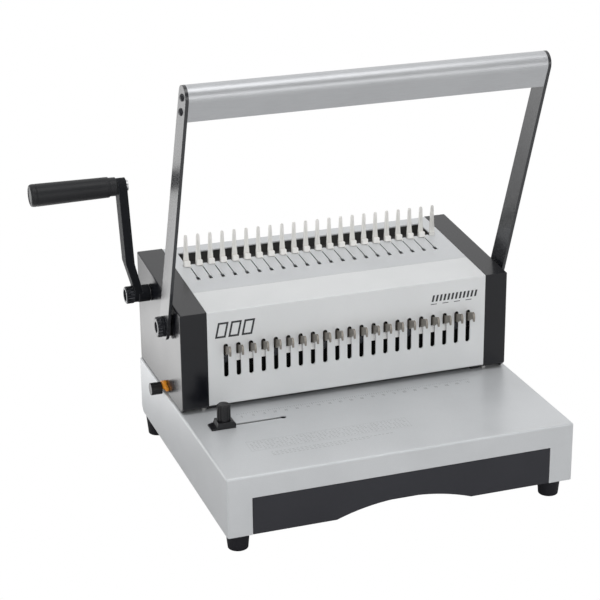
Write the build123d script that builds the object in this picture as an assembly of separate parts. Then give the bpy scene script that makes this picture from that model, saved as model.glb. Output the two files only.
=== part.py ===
from build123d import *
import math
import os

# Comb binding machine: a desk-top punch with a U-shaped lever handle and a crank that opens plastic combs.
# Millimetres, +Z up, +Y towards the back, front panel at the low-Y side.
# The model is drawn about the machine's centre line and moved, on export, so that the origin lies on the table
# under the middle of the whole object.

# ---- driving dimensions -------------------------------------------------------------------------------------
PITCH = 14.2875  # 9/16 inch, the pitch of comb binding holes
HOLES = 21  # holes along an A4 edge
HOLE_L, HOLE_W = 8.0, 3.0  # one punched hole

BASE_W, BASE_D = 390.0, 343.0
FOOT_H = 22.5
BASE_TOP = 89.4
SHEET = 1.5  # folded steel sheet

BODY_FRONT, BODY_BACK = 164.2, 341.5
TOP_FRONT, TOP_BACK = 205.8, 220.3  # height of the sloping top at the front and at the back
BODY_BOTTOM = 96.2  # lower edge of the front cover, above the paper throat
CAP_IN, CAP_OUT = 163.5, 190.3  # the two end caps, measured from the centre line
CAP_WALL = 2.5
LEFT_EXTRA = 3.0  # the left end, with the crank and the dial, is that much wider
FOLD_Y = 216.3  # joint between the front cover and the top cover

PIVOT_Y, PIVOT_Z = 210.0, 178.5  # punch handle shaft
HANDLE_LEAN = 21.0  # degrees forward of upright at rest
ARM_IN, ARM_OUT = 193.3, 196.8  # right arm; everything beyond the left cap sits LEFT_EXTRA further out
ARM_R0, ARM_R1 = 15.0, 12.0  # half widths of the arms at the pivot and at the bar
ARM_LEN = 303.2
BAR_DROP = 22.5  # flat part of the bar below its round top
CAP_BOLT_END = 204.8

PIN_Y = 184.0  # row of punch pins
BAR_FRONT, BAR_BACK = 176.0, 194.0
BAR_BOTTOM, BAR_TOP = 143.0, 172.0
GUIDE_Z0, GUIDE_Z1 = 95.4, 107.4
DIE_BOTTOM = 75.9
ROD_X, ROD_Y = 158.0, 185.0

SLOT_TOP, SLOT_BOTTOM, SLOT_W = 167.1, 128.4, 5.2

CRANK_Y, CRANK_Z = 290.0, 189.0
CRANK_RADIUS = 128.5
GRIP_IN, GRIP_OUT = -226.5, -322.0

HOOK_Y = 284.2  # comb hooks at rest
TINE_Y, TINE_H = 287.6, 37.0
SLIT_SHIFT = -3.8  # slits of the comb hooks, from the middle of their hole
WINDOW_X, WINDOW_Y0, WINDOW_Y1 = 150.0, 289.6, 323.5

HANDLE_GEAR_M, CRANK_GEAR_M, TEETH = 1.5, 1.0, 18
HANDLE_GEAR_R = HANDLE_GEAR_M * TEETH / 2
CRANK_GEAR_R = CRANK_GEAR_M * TEETH / 2

DIAL_Y, DIAL_Z = 240.0, 92.8
GUIDE_X, GUIDE_Y = -159.0, 124.5
SLIDE_END = -88.6  # end of the edge guide's slot

LEFT_CAP, LEFT_ARM = CAP_OUT + LEFT_EXTRA, ARM_IN + LEFT_EXTRA  # left cap's face and left arm's inner face
ORIGIN_X = (GRIP_OUT + CAP_BOLT_END) / 2
ORIGIN_Y = BASE_D / 2

SLOPE = (TOP_BACK - TOP_FRONT) / (BODY_BACK - BODY_FRONT)
SLOT_X = [(i - (HOLES - 1) / 2) * PITCH for i in range(HOLES)]
TINE_X = [(i - HOLES / 2) * PITCH for i in range(HOLES + 1)]


def top_at(y):
    """Height of the sloping top surface at depth y."""
    return TOP_FRONT + (y - BODY_FRONT) * SLOPE


# ---- shape helpers ------------------------------------------------------------------------------------------
def block(x, y, z):
    """A box given as three (low, high) pairs."""
    size = [high - low for low, high in (x, y, z)]
    middle = [(high + low) / 2 for low, high in (x, y, z)]
    return Pos(*middle) * Box(*size)


def rod_x(x0, x1, y, z, r, r_end=None):
    """A cylinder along X, or a cone when r_end is given."""
    shape = Cylinder(r, x1 - x0) if r_end is None else Cone(r, r_end, x1 - x0)
    return Pos((x0 + x1) / 2, y, z) * Rot(0, 90, 0) * shape


def rod_z(x, y, z0, z1, r):
    return Pos(x, y, (z0 + z1) / 2) * Cylinder(r, z1 - z0)


def outline(points):
    return make_face(Polyline(*points, close=True))


def side_plate(sketch, x0, x1):
    """A sketch drawn in (Y, Z), extruded along X."""
    return Pos(x0, 0, 0) * extrude(Plane.YZ * sketch, amount=x1 - x0)


def front_plate(sketch, y0, y1):
    """A sketch drawn in (X, Z), extruded along Y."""
    return Pos(0, y0, 0) * extrude(Plane.XZ * sketch, amount=-(y1 - y0))


def flat_plate(sketch, z0, z1):
    """A sketch drawn in (X, Y), extruded along Z."""
    return Pos(0, 0, z0) * extrude(sketch, amount=z1 - z0)


def group(shapes):
    """Separate solids in one node."""
    return Part() + list(shapes)


def both_sides(shape):
    """The shape and its mirror image, as separate solids."""
    return group([shape, shape.mirror(Plane.YZ)])


def round_near(sketch, radius, *points):
    """Fillets the corners of a sketch that lie at the given points."""
    corners = [min(sketch.vertices(), key=lambda v: math.dist((v.X, v.Y), p)) for p in points]
    return fillet(corners, radius)


def gear(module, bore, gap_angle):
    """An involute spur gear sketch, with a tooth gap centred on gap_angle."""
    r = module * TEETH / 2
    base_r = r * math.cos(math.radians(20))
    backlash = 0.1 * module / r

    def half_tooth(radius):
        a = math.acos(min(1.0, base_r / radius))
        return math.pi / (2 * TEETH) + math.radians(0.854) - (math.tan(a) - a) - backlash

    flank = [r - 1.25 * module, base_r, r - 0.3 * module, r, r + 0.5 * module, r + 0.95 * module]
    points = []
    for tooth in range(TEETH):
        centre = math.radians(gap_angle) + (tooth + 0.5) * 2 * math.pi / TEETH
        for side, radii in ((-1, flank), (1, reversed(flank))):
            for radius in radii:
                a = centre + side * half_tooth(max(radius, base_r))
                points.append((radius * math.cos(a), radius * math.sin(a)))
    return outline(points) - Circle(bore)


def rack(module, low, high, depth):
    """A toothed strip along local X with its pitch line on local Y = 0 and a tooth centred on X = 0."""
    step = math.pi * module
    lean = math.tan(math.radians(20))
    tip, root = 0.95 * module, -1.25 * module
    half = step / 4 - 0.1 * module
    points = [(high, -depth), (low, -depth), (low, root)]
    tooth = math.ceil((low + step / 2) / step)
    while (tooth + 0.5) * step <= high:
        centre = tooth * step
        points += [
            (centre - half - lean * -root, root),
            (centre - half + lean * tip, tip),
            (centre + half - lean * tip, tip),
            (centre + half + lean * -root, root),
        ]
        tooth += 1
    points.append((high, root))
    return outline(points)


def ribbed(radius, ribs, depth):
    """A round sketch with shallow grip ribs."""
    width = math.pi * radius / ribs
    cuts = [Rot(0, 0, 360 * k / ribs) * Pos(radius, 0) * Rectangle(2 * depth, width) for k in range(ribs)]
    return Circle(radius) - cuts


# ---- base ---------------------------------------------------------------------------------------------------
DRAWER_X, DRAWER_TOP = 168.0, 64.5
DIE_X, DIE_Y0, DIE_Y1 = 152.0, 178.0, 204.0
FEET = [(-178.0, 21.0), (178.0, 21.0), (-182.0, BASE_D - 21.0), (182.0, BASE_D - 21.0)]
FRAME_SCREW_X, FRAME_SCREW_Y = 177.0, (190.0, 320.0)
FRAME_SCREWS = [(x, y) for x in (-FRAME_SCREW_X, FRAME_SCREW_X) for y in FRAME_SCREW_Y]
DIE_SCREWS = [(x, y) for x in (-ROD_X, ROD_X) for y in (177.5, 201.0)]


def base_housing():
    low, high = FOOT_H, BASE_TOP
    side = outline([(0, low), (0, high), (BASE_D, high), (BASE_D, low + 7.5), (BASE_D - 8, low)])
    shell = side_plate(side, -BASE_W / 2, BASE_W / 2)
    uprights = shell.edges().filter_by(Axis.Z)
    top_edges = shell.edges().group_by(Axis.Z)[-1]
    shell = fillet([*uprights, *top_edges], 2.2)
    inner = (BASE_W / 2 - SHEET, BASE_D - SHEET, high - SHEET)
    shell -= block((-inner[0], inner[0]), (SHEET, inner[1]), (low - 5, inner[2]))
    shell -= block((-DRAWER_X, DRAWER_X), (-5, SHEET + 1), (low - 5, DRAWER_TOP))
    shell -= block((-DIE_X, DIE_X), (DIE_Y0, DIE_Y1), (high - 5, high + 5))
    slot = Pos((GUIDE_X - 4 + SLIDE_END) / 2, GUIDE_Y) * SlotOverall(SLIDE_END - GUIDE_X + 4, 4.0)
    slot += Pos(SLIDE_END - 3.4, GUIDE_Y) * Circle(3.4)
    shell -= flat_plate(slot, high - 5, high + 5)
    shell -= block((-163.6, -156.9), (DIAL_Y - 7, DIAL_Y + 7), (high - 5, high + 5))
    for x, y in FRAME_SCREWS + DIE_SCREWS:
        shell -= rod_z(x, y, high - 5, high + 5, 2.2)
    return shell


def bottom_plate():
    """Closes the base and, with its two upturned rails, guides the waste drawer."""
    z0, z1 = FOOT_H, FOOT_H + SHEET
    x_out = BASE_W / 2 - SHEET
    plate = block((-x_out, x_out), (24, BASE_D - 9), (z0, z1))
    for side in (-1, 1):
        inner, outer = sorted((side * 161.0, side * 163.0))
        plate += block((inner, outer), (24, 240), (z1, z1 + 14))
        front = sorted((side * 169.0, side * x_out))
        plate += block(front, (SHEET, 24), (z0, z1))
    for x, y in FEET:
        plate -= rod_z(x, y, z0 - 1, z1 + 1, 2.2)
    return plate


def rubber_feet():
    foot = Pos(0, 0, FOOT_H / 2) * Cone(10.8, 13.0, FOOT_H)
    foot = fillet(foot.edges().group_by(Axis.Z)[0], 1.0)
    foot -= rod_z(0, 0, -1, 8, 5.0)
    foot -= rod_z(0, 0, 7, FOOT_H + 1, 2.2)
    return group([Pos(x, y, 0) * foot for x, y in FEET])


def screw(shank, head, length, head_h):
    """A pan-head screw, head below, shank up from Z = 0."""
    return Pos(0, 0, length / 2) * Cylinder(shank, length) + Pos(0, 0, -head_h / 2) * Cylinder(head, head_h)


def frame_screws():
    foot_screw = screw(2.1, 4.2, FOOT_H - 8 + 6, 3.0)
    die_screw = screw(2.1, 3.6, GUIDE_Z1 - DIE_BOTTOM - 2, 3.0)
    frame_screw = screw(2.1, 4.0, 14.0, 3.0)
    feet = [Pos(x, y, 8) * foot_screw for x, y in FEET]
    dies = [Pos(x, y, DIE_BOTTOM) * die_screw for x, y in DIE_SCREWS]
    frames = [Pos(x, y, BASE_TOP + 3) * Rot(180, 0, 0) * frame_screw for x, y in FRAME_SCREWS]
    return group(feet + dies + frames)


def waste_drawer():
    z0 = FOOT_H + 0.3
    arch_r, arch_rise = 228.0, 13.4
    face = outline([(-167.5, z0), (-167.5, 64.0), (167.5, 64.0), (167.5, z0)])
    arch = Pos(0, FOOT_H + arch_rise - arch_r) * Circle(arch_r)
    front = front_plate(face - arch, 0.0, 3.0)
    floor = FOOT_H + SHEET + 0.3
    tub = block((-160, 160), (3, 226), (floor, 60))
    tub -= block((-158, 158), (22, 224), (floor + 2, 70))
    tub -= block((-158, 158), (2, 20), (floor - 1, 58))
    return front + tub


# ---- frame, covers and end caps -----------------------------------------------------------------------------
def side_frames():
    """Steel side plates, foot flange outwards, that carry both shafts."""
    x0, x1 = 165.5, 169.5
    shape = outline([(172, BASE_TOP), (172, top_at(172) - 6), (334, top_at(334) - 6), (334, BASE_TOP)])
    shape -= Pos(PIVOT_Y, PIVOT_Z) * Circle(10.0)
    shape -= Pos(CRANK_Y, CRANK_Z) * Circle(8.0)
    shape -= Pos(DIAL_Y, DIAL_Z) * Circle(3.0)
    shape -= Pos(271, 202) * Rectangle(44, 6.8)
    plate = side_plate(shape, x0, x1)
    plate += block((x1, 184), (180, 330), (BASE_TOP, BASE_TOP + 3))
    for y in FRAME_SCREW_Y:
        plate -= rod_z(FRAME_SCREW_X, y, BASE_TOP - 1, BASE_TOP + 4, 2.2)
    plate -= block((x0 - 1, 185), (DIAL_Y - 3, DIAL_Y + 3), (BASE_TOP - 1, DIAL_Z))
    return both_sides(plate)


def end_cap(side):
    """Moulded cap over one end, open below and towards the middle."""
    x1 = CAP_OUT if side > 0 else LEFT_CAP
    shape = outline(
        [
            (BODY_FRONT, BODY_BOTTOM),
            (BODY_FRONT, TOP_FRONT),
            (BODY_BACK, TOP_BACK),
            (BODY_BACK, BASE_TOP + 0.3),
            (BODY_FRONT + 8, BASE_TOP + 0.3),
        ]
    )
    shape = round_near(shape, 3.0, (BODY_FRONT, BODY_BOTTOM))
    cap = side_plate(shape, CAP_IN, x1)
    outer = [e for e in cap.edges() if e.bounding_box().min.X > x1 - 0.1]
    cap = fillet(outer, 1.6)
    w = CAP_WALL
    hollow = outline(
        [
            (BODY_FRONT + w, BASE_TOP - 5),
            (BODY_FRONT + w, top_at(BODY_FRONT + w) - w),
            (BODY_BACK - w, top_at(BODY_BACK - w) - w),
            (BODY_BACK - w, BASE_TOP - 5),
        ]
    )
    cap -= side_plate(hollow, CAP_IN - 1, x1 - w)
    cap -= rod_x(x1 - 5, x1 + 1, PIVOT_Y, PIVOT_Z, 8.6)
    if side < 0:
        cap -= rod_x(x1 - 5, x1 + 1, CRANK_Y, CRANK_Z, 6.6)
        cap -= rod_x(x1 - 5, x1 + 1, DIAL_Y, DIAL_Z, 2.8)
        cap -= block((x1 - 5, x1 + 1), (DIAL_Y - 2.8, DIAL_Y + 2.8), (BASE_TOP, DIAL_Z))
        cap = cap.mirror(Plane.YZ)
    return cap


def front_cover():
    x = CAP_IN - 0.2
    t = SHEET
    fold = FOLD_Y - 0.15
    shape = outline(
        [
            (BODY_FRONT, BODY_BOTTOM),
            (BODY_FRONT, TOP_FRONT),
            (fold, top_at(fold)),
            (fold, top_at(fold) - t),
            (BODY_FRONT + t, top_at(BODY_FRONT + t) - t),
            (BODY_FRONT + t, BODY_BOTTOM + t),
            (BODY_FRONT + 8, BODY_BOTTOM + t),
            (BODY_FRONT + 8, BODY_BOTTOM),
        ]
    )
    shape = round_near(shape, 1.2, (BODY_FRONT, TOP_FRONT))
    shape = round_near(shape, 2.0, (BODY_FRONT, BODY_BOTTOM))
    cover = side_plate(shape, -x, x)
    middle, length = (SLOT_TOP + SLOT_BOTTOM) / 2, SLOT_TOP - SLOT_BOTTOM
    slots = [Pos(sx, middle) * SlotOverall(length, SLOT_W, rotation=90) for sx in SLOT_X]
    return cover - front_plate(Sketch() + slots, BODY_FRONT - 2, BODY_FRONT + 4)


def top_cover():
    x = CAP_IN - 0.2
    t = SHEET
    fold = FOLD_Y + 0.15
    shape = outline(
        [
            (fold, top_at(fold)),
            (BODY_BACK, TOP_BACK),
            (BODY_BACK, TOP_BACK - 12),
            (BODY_BACK - t, TOP_BACK - 12),
            (BODY_BACK - t, top_at(BODY_BACK - t) - t),
            (fold, top_at(fold) - t),
        ]
    )
    shape = round_near(shape, 2.0, (BODY_BACK, TOP_BACK))
    cover = side_plate(shape, -x, x)
    middle_y = (WINDOW_Y0 + WINDOW_Y1) / 2
    cuts = [Pos(0, middle_y) * Rectangle(2 * WINDOW_X, WINDOW_Y1 - WINDOW_Y0)]
    for sx in SLOT_X:
        slit = sx + SLIT_SHIFT
        cuts.append(Pos(slit, 270.5) * Rectangle(1.4, 36.0))
        cuts.append(Pos(slit, 251.5) * Rectangle(4.0, 8.0))
        cuts.append(Pos(slit - 1.7, 285.4) * Rectangle(4.8, 3.0))
    cuts += [Pos(tx, 288.0) * Rectangle(7.4, 5.0) for tx in TINE_X]
    return cover - flat_plate(Sketch() + cuts, TOP_FRONT - 10, TOP_BACK + 10)


def rear_cover():
    x = CAP_IN - 0.2
    panel = block((-x, x), (BODY_BACK - SHEET, BODY_BACK), (BASE_TOP + 0.3, TOP_BACK - 12.1))
    foot = block((-x, x), (BODY_BACK - 12, BODY_BACK - SHEET), (BASE_TOP + 0.3, BASE_TOP + 0.3 + SHEET))
    vents = [Pos(vx, 120) * SlotOverall(24, 3, rotation=90) for vx in range(-60, 61, 12)]
    return panel + foot - front_plate(Sketch() + vents, BODY_BACK - 4, BODY_BACK + 2)


# ---- punch --------------------------------------------------------------------------------------------------
def hole_row(length, width):
    return Sketch() + [Pos(x, PIN_Y) * Rectangle(length, width) for x in SLOT_X]


def die_plate():
    """Hardened die, flush with the base top, with a flange under the sheet."""
    die = block((-163, 163), (174, 208), (DIE_BOTTOM, BASE_TOP - SHEET))
    die += block((-DIE_X, DIE_X), (DIE_Y0, DIE_Y1), (BASE_TOP - SHEET, BASE_TOP))
    die -= flat_plate(hole_row(HOLE_L + 0.1, HOLE_W + 0.1), DIE_BOTTOM - 1, BASE_TOP + 1)
    for x, y in DIE_SCREWS:
        die -= rod_z(x, y, DIE_BOTTOM - 1, BASE_TOP, 2.2)
    return die


def guide_plate():
    """Guides and strips the pins above the paper; its end lugs set the throat height."""
    guide = block((-163, 163), (174, 208), (GUIDE_Z0, GUIDE_Z1))
    for low, high in ((-163, -152.5), (152.5, 163)):
        guide += block((low, high), (174, 208), (BASE_TOP, GUIDE_Z0))
    guide -= flat_plate(hole_row(HOLE_L + 0.2, HOLE_W + 0.2), GUIDE_Z0 - 1, GUIDE_Z1 + 1)
    for x, y in DIE_SCREWS:
        guide -= rod_z(x, y, BASE_TOP - 1, GUIDE_Z1 - 1.5, 2.1)
    for x in (-ROD_X, ROD_X):
        guide -= rod_z(x, ROD_Y, BASE_TOP - 1, GUIDE_Z1 + 1, 4.0)
    return guide


def guide_rods():
    return group([rod_z(x, ROD_Y, BASE_TOP, BAR_TOP + 4, 4.0) for x in (-ROD_X, ROD_X)])


def return_springs():
    wire, radius = 0.75, 5.6
    turns = Helix(pitch=4.6, height=BAR_BOTTOM - GUIDE_Z1 - 2 * wire - 0.6, radius=radius)
    coil = sweep(Plane(turns @ 0, z_dir=turns % 0) * Circle(wire), turns)
    lift = GUIDE_Z1 + wire + 0.3
    return group([Pos(x, ROD_Y, lift) * coil for x in (-ROD_X, ROD_X)])


SELECTOR_Z0, SELECTOR_Z1 = SLOT_TOP - 12.0, SLOT_TOP - 3.0
RACK_X0, RACK_X1 = 143.0, 151.0
RACK_TOP = 205.4


def pressure_bar():
    """Drives the pins; a toothed post near each end meshes with a pinion on the handle shaft."""
    bar = block((-163.3, 163.3), (BAR_FRONT, BAR_BACK), (BAR_BOTTOM, BAR_TOP))
    bar -= flat_plate(hole_row(HOLE_L + 0.2, HOLE_W + 0.2), BAR_BOTTOM - 1, BAR_TOP - 1.8)
    middle, height = (SELECTOR_Z0 + SELECTOR_Z1) / 2, SELECTOR_Z1 - SELECTOR_Z0 + 0.6
    slots = [Pos(x, middle) * Rectangle(2.8, height) for x in SLOT_X]
    bar -= front_plate(Sketch() + slots, BAR_FRONT - 1, PIN_Y)
    for x in (-ROD_X, ROD_X):
        bar -= rod_z(x, ROD_Y, BAR_BOTTOM - 1, BAR_TOP + 1, 4.1)
    pitch_y = PIVOT_Y - HANDLE_GEAR_R
    teeth = rack(HANDLE_GEAR_M, BAR_BOTTOM - PIVOT_Z, RACK_TOP - PIVOT_Z, pitch_y - 188.0)
    strip = Pos(pitch_y, PIVOT_Z) * Rot(0, 0, 90) * teeth.mirror(Plane.XZ)
    post = side_plate(strip, RACK_X0, RACK_X1)
    return bar + post + post.mirror(Plane.YZ)


def punch_pins():
    """Pins with a notch that the selector locks into."""
    tip, head = GUIDE_Z0 + 1.1, BAR_TOP - 2.0
    pin = block((-HOLE_L / 2, HOLE_L / 2), (PIN_Y - HOLE_W / 2, PIN_Y + HOLE_W / 2), (tip, head))
    notch = (PIN_Y - HOLE_W / 2 - 1, PIN_Y - HOLE_W / 2 + 1.6)
    pin -= block((-HOLE_L, HOLE_L), notch, (SELECTOR_Z0 - 0.3, SELECTOR_Z1 + 0.3))
    return group([Pos(x, 0, 0) * pin for x in SLOT_X])


def selector_strip():
    strip = block((-149.5, 149.5), (BAR_FRONT - 2.5, BAR_FRONT), (SLOT_TOP - 23, SLOT_TOP - 15))
    return strip


def pin_selector(x):
    """Hooked pull tab; pulled forward, it lets go of its pin."""
    y, z = BODY_FRONT, SLOT_TOP
    inner = PIN_Y - HOLE_W / 2 + 1.2
    shape = outline(
        [
            (inner, z - 3),
            (y, z - 3),
            (y - 8, z),
            (y - 13, z + 2),
            (y - 16, z + 1),
            (y - 17, z - 3),
            (y - 16.5, z - 8.5),
            (y - 14, z - 5.7),
            (y - 11.5, z - 6.5),
            (y - 8, z - 9),
            (y - 3.7, z - 11.6),
            (y, z - 12),
            (inner, z - 12),
        ]
    )
    shape = round_near(shape, 1.0, (y - 13, z + 2), (y - 16, z + 1), (y - 14, z - 5.7))
    return side_plate(shape, x - 1.1, x + 1.1)


# ---- punch handle -------------------------------------------------------------------------------------------
def on_handle(shape):
    """Moves a shape drawn with the arm upright over the origin to the handle's rest position."""
    return Pos(0, PIVOT_Y, PIVOT_Z) * Rot(HANDLE_LEAN, 0, 0) * shape


def on_left(shape):
    """The mirror image of something on the right arm, for the left arm."""
    return Pos(-LEFT_EXTRA, 0, 0) * shape.mirror(Plane.YZ)


BAR_SCREWS = [ARM_LEN - 17.8, ARM_LEN - 0.5]  # distances from the pivot


def handle_arm(side):
    shape = outline([(-ARM_R0, 0), (-ARM_R1, ARM_LEN), (ARM_R1, ARM_LEN), (ARM_R0, 0)])
    shape += Circle(ARM_R0)
    shape += Pos(0, ARM_LEN) * Circle(ARM_R1)
    shape -= Circle(6.0)
    shape -= [Pos(0, v) * Circle(2.2) for v in BAR_SCREWS]
    x0 = ARM_IN if side > 0 else -LEFT_ARM - (ARM_OUT - ARM_IN)
    return on_handle(side_plate(shape, x0, x0 + ARM_OUT - ARM_IN))


def handle_bar():
    """Hollow extrusion with a round top and two screw ports."""
    low = ARM_LEN - BAR_DROP

    outer = outline([(-ARM_R1, low), (-ARM_R1, ARM_LEN), (ARM_R1, ARM_LEN), (ARM_R1, low)])
    outer += Pos(0, ARM_LEN) * Circle(ARM_R1)
    r = ARM_R1 - 2.4
    inner = outline([(-r, low + 2.4), (-r, ARM_LEN), (r, ARM_LEN), (r, low + 2.4)])
    inner += Pos(0, ARM_LEN) * Circle(r)
    ports = Sketch() + [Pos(0, v) * Circle(4.6) for v in BAR_SCREWS]
    walls = Sketch() + [Pos(0, v) * Rectangle(2 * r, 2.4) for v in BAR_SCREWS]
    shape = outer - (inner - ports - walls) - [Pos(0, v) * Circle(2.1) for v in BAR_SCREWS]
    return on_handle(side_plate(shape, -LEFT_ARM, ARM_IN))


def handle_shaft():
    """Through shaft with a spacing collar and a spigot for the arm at each end."""
    shaft = rod_x(-LEFT_ARM, ARM_IN, PIVOT_Y, PIVOT_Z, 8.0)
    collar = rod_x(CAP_OUT + 0.5, ARM_IN, PIVOT_Y, PIVOT_Z, 11.5)
    spigot = rod_x(ARM_IN, ARM_OUT, PIVOT_Y, PIVOT_Z, 6.0)
    bolt_hole = rod_x(ARM_IN - 14, ARM_OUT + 1, PIVOT_Y, PIVOT_Z, 3.5)
    end = collar + spigot
    shaft += end + on_left(end)
    return shaft - bolt_hole - on_left(bolt_hole)


def handle_pinions():
    wheel = Pos(PIVOT_Y, PIVOT_Z) * gear(HANDLE_GEAR_M, 8.0, 180)
    return both_sides(side_plate(wheel, RACK_X0, RACK_X1))


def handle_bolts():
    """A ribbed cap bolt at each pivot and two pan-head screws through each arm into the bar."""
    cap = side_plate(ribbed(11.5, 16, 0.8), 0, CAP_BOLT_END - ARM_OUT)
    cap += rod_x(-17, 0, 0, 0, 3.5)
    bolt = Pos(ARM_OUT, PIVOT_Y, PIVOT_Z) * cap
    head = rod_x(ARM_OUT, ARM_OUT + 2.4, 0, 0, 4.0)
    one = head + rod_x(ARM_IN - 14, ARM_OUT, 0, 0, 2.1)
    screws = [on_handle(Pos(0, 0, v) * one) for v in BAR_SCREWS]
    return group([bolt, *screws, on_left(bolt), *[on_left(screw) for screw in screws]])


# ---- comb opener and crank ----------------------------------------------------------------------------------
HUB_X0, HUB_X1 = -212.5, -203.0  # crank arm at its hub


def crank_shaft():
    shaft = rod_x(-LEFT_CAP - 1, 171, CRANK_Y, CRANK_Z, 6.0)
    return shaft + rod_x(HUB_X0 - 5, -LEFT_CAP - 1, CRANK_Y, CRANK_Z, 5.0)


def crank_pinions():
    wheel = Pos(CRANK_Y, CRANK_Z) * gear(CRANK_GEAR_M, 6.0, 90)
    return both_sides(side_plate(wheel, 154.5, 159.5))


def crank_arm():
    """Cranked flat arm with a round boss against the end cap."""
    z = CRANK_Z
    top = z + CRANK_RADIUS + 9
    profile = outline(
        [
            (HUB_X1, z - 10),
            (HUB_X1, z + 6),
            (-211, z + 39),
            (-216, top),
            (-226, top),
            (-221, z + 40),
            (HUB_X0, z + 9),
            (HUB_X0, z - 10),
        ]
    )
    profile = round_near(profile, 5.0, (-211, z + 39), (-221, z + 40))
    arm = front_plate(profile, CRANK_Y - 9, CRANK_Y + 9)
    face = Pos(CRANK_Y, z + CRANK_RADIUS / 2) * SlotOverall(CRANK_RADIUS + 18, 18, rotation=90)
    arm &= side_plate(face, -230, -195)
    arm += rod_x(HUB_X1 - 4, -LEFT_CAP - 1, CRANK_Y, CRANK_Z, 9.5)
    arm -= rod_x(-230, -180, CRANK_Y, CRANK_Z, 5.0)
    return arm - rod_x(-230, -200, CRANK_Y, z + CRANK_RADIUS, 4.0)


def crank_knob():
    knob = side_plate(ribbed(9.8, 18, 0.6), -221.5, HUB_X0)
    knob -= rod_x(-222.5, -219.5, 0, 0, 6.5)
    knob -= rod_x(HUB_X0 - 5, HUB_X0 + 1, 0, 0, 5.0)
    return Pos(0, CRANK_Y, CRANK_Z) * knob


def grip_pin():
    z = CRANK_Z + CRANK_RADIUS
    return rod_x(-314, -215.2, CRANK_Y, z, 4.0) + rod_x(-215.2, -213.2, CRANK_Y, z, 6.0)


def crank_grip():
    z = CRANK_Z + CRANK_RADIUS
    grip = rod_x(GRIP_OUT, GRIP_IN - 8, 0, 0, 12.5, 11.4)
    grip = chamfer(grip.edges().group_by(Axis.X)[0], 1.6)
    grip += rod_x(GRIP_IN - 8, GRIP_IN, 0, 0, 10.4)
    grip -= rod_x(-315, GRIP_IN + 1, 0, 0, 4.06)
    return Pos(0, CRANK_Y, z) * grip


def comb_hook_bar():
    """Sliding bar with a thin L-shaped hook fixed behind it for every slit and a toothed rail at each end."""
    bar_y, bar_z = (274, 281.6), (199.3, 204.7)
    bar = block((-159.5, 159.5), bar_y, bar_z)
    for low, high in ((-168.5, -159.5), (159.5, 168.5)):
        bar += block((low, high), (272, 286), bar_z)
    pitch_z = CRANK_Z + CRANK_GEAR_R
    teeth = rack(CRANK_GEAR_M, 276 - CRANK_Y, 316 - CRANK_Y, 204.0 - pitch_z)
    strip = Pos(CRANK_Y, pitch_z) * teeth.mirror(Plane.XZ)
    rail = side_plate(strip, 154.5, 159.5)
    bar += rail + rail.mirror(Plane.YZ)
    top = top_at(HOOK_Y)
    x = SLIT_SHIFT
    stem = block((x - 0.4, x + 0.4), (281.6, 285.4), (200, top + 2.2))
    tip = block((x - 6.4, x + 0.4), (282.8, 285.2), (top + 0.6, top + 7.0))
    tip = fillet(tip.edges().filter_by(Axis.Y), 1.0)
    hook = stem + tip
    return Compound(children=[bar.solid()] + [(Pos(x, 0, 0) * hook).solid() for x in SLOT_X])


def tine_rake():
    """Upright tines that hold the comb's spine, each fixed to a strip under the top cover."""
    foot_z = top_at(TINE_Y)
    strip_y = (TINE_Y + 0.8, TINE_Y + 2.0)
    strip = block((-152, 152), strip_y, (200, 212.8))
    for low, high in ((-165.5, -152), (152, 165.5)):
        strip += block((low, high), strip_y, (206.2, 212.8))
    blade = outline(
        [(-3.2, 202), (-3.2, foot_z + 9), (-2.4, foot_z + 20), (-1.9, foot_z + TINE_H - 1.9)]
        + [(1.9, foot_z + TINE_H - 1.9), (2.4, foot_z + 20), (3.2, foot_z + 9), (3.2, 202)]
    )
    blade += Pos(0, foot_z + TINE_H - 1.9) * Circle(1.9)
    tine = front_plate(blade, TINE_Y - 0.8, TINE_Y + 0.8)
    tine += block((-3.2, 3.2), (TINE_Y - 1.8, TINE_Y + 0.8), (foot_z - 3, foot_z + 4.6))
    return Compound(children=[strip.solid()] + [(Pos(x, 0, 0) * tine).solid() for x in TINE_X])


def comb_trough():
    """Dark channel under the window, where the comb's rings hang."""
    y0, y1, t, low = WINDOW_Y0 + 0.6, WINDOW_Y1 + 2.4, 1.2, 205.2
    top = side_plate(
        outline([(y0, low), (y0, top_at(y0) - 1.6), (y1, top_at(y1) - 1.6), (y1, low)]), -152, 152
    )
    return top - block((-150.8, 150.8), (y0 + t, y1 - t), (low + t, 230))


def shaft_bushes():
    """Flanged bushes for both shafts in both side plates."""
    bushes = []
    for y, z, shaft_r, outer in ((PIVOT_Y, PIVOT_Z, 8.0, 10.0), (CRANK_Y, CRANK_Z, 6.0, 8.0)):
        bush = rod_x(165.5, 171, y, z, outer) + rod_x(164.0, 165.5, y, z, outer + 1.6)
        bushes.append(bush - rod_x(163, 172, y, z, shaft_r + 0.03))
    return both_sides(group(bushes))


# ---- margin dial, back gauge and edge guide -----------------------------------------------------------------
GAUGE_Y, GAUGE_TRAVEL = 191.0, 3.0
CAM_MIN = 2.9


def margin_dial():
    """Ribbed dial outside the left cap; its shaft ends in a spiral cam behind the back gauge."""
    dial = side_plate(ribbed(7.0, 16, 0.6), -209.5, -197.0)
    dial += rod_x(-197.0, -158.0, 0, 0, 2.2)
    cam = []
    for step in range(25):
        a = math.radians(15 * step)
        grow = min(a, math.pi) if a <= math.pi else (2 * math.pi - a)
        r = CAM_MIN + GAUGE_TRAVEL * grow / math.pi
        cam.append((-r * math.cos(a), r * math.sin(a)))
    dial += side_plate(outline(cam[:-1]), -162.5, -158.0)
    return Pos(0, DIAL_Y, DIAL_Z) * dial


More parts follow.
